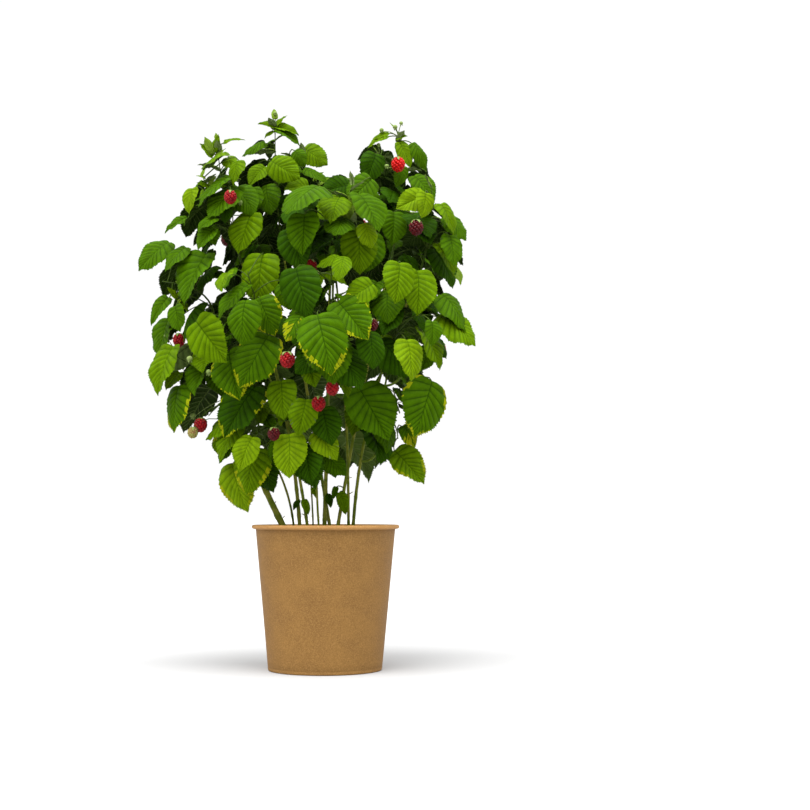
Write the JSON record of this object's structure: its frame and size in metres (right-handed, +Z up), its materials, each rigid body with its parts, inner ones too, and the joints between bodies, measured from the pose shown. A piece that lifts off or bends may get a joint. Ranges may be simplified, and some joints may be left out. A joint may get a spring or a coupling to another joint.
{
  "type": "potted raspberry bush",
  "caption": "Raspberry bush in a tapered paper pot, with upright canes, toothed leaves and hanging berries; it stands on the flat underside of the pot.",
  "frame": {"origin": "centre of the flat underside of the pot", "axes": "+Z up along the axis of the pot, -Y towards the front of the plant, +X to the right as seen from the front"},
  "size_m": [0.4322, 0.4087, 0.7393],
  "materials": {
    "kraft_paper": "matt brown kraft paper",
    "soil": "loose dark potting mix",
    "cane_bark": "smooth olive bark with fine prickles",
    "green_bark": "green young bark",
    "foliage": "satin leaves with red berries"
  },
  "bodies": {
    "root": {"pot": "kraft_paper", "soil": "soil", "cane_left_arching": "cane_bark", "cane_left_thin": "cane_bark", "cane_left_tall": "cane_bark", "cane_front_left": "cane_bark", "cane_stub": "cane_bark", "cane_front_thin": "cane_bark", "cane_middle": "cane_bark", "cane_left_peak": "cane_bark", "cane_right_peak": "cane_bark", "cane_back": "cane_bark", "cane_right_tall": "cane_bark", "bough_left": "green_bark", "bough_high_front": "green_bark", "bough_front_middle": "green_bark", "bough_front_right": "green_bark", "bough_right": "green_bark", "bough_back_right": "green_bark", "bough_back_middle": "green_bark", "bough_back_left": "green_bark", "bough_high_back_left": "green_bark", "bough_high_back_right": "green_bark", "bough_low_right": "green_bark", "bough_low_back": "green_bark", "foliage_left_peak": "foliage", "foliage_left_shoulder": "foliage", "foliage_right_peak": "foliage", "foliage_right_shoulder": "foliage", "foliage_heart": "foliage", "foliage_high_front": "foliage", "foliage_high_back": "foliage", "foliage_high_back_left": "foliage", "foliage_high_back_right": "foliage", "foliage_left": "foliage", "foliage_front_left": "foliage", "foliage_front_middle": "foliage", "foliage_front_right": "foliage", "foliage_right": "foliage", "foliage_back_right": "foliage", "foliage_back_middle": "foliage", "foliage_back_left": "foliage", "foliage_low_left": "foliage", "foliage_foot_left": "foliage", "foliage_foot_front": "foliage", "foliage_foot_right": "foliage", "foliage_foot_back": "foliage"}
  },
  "joints": []
}
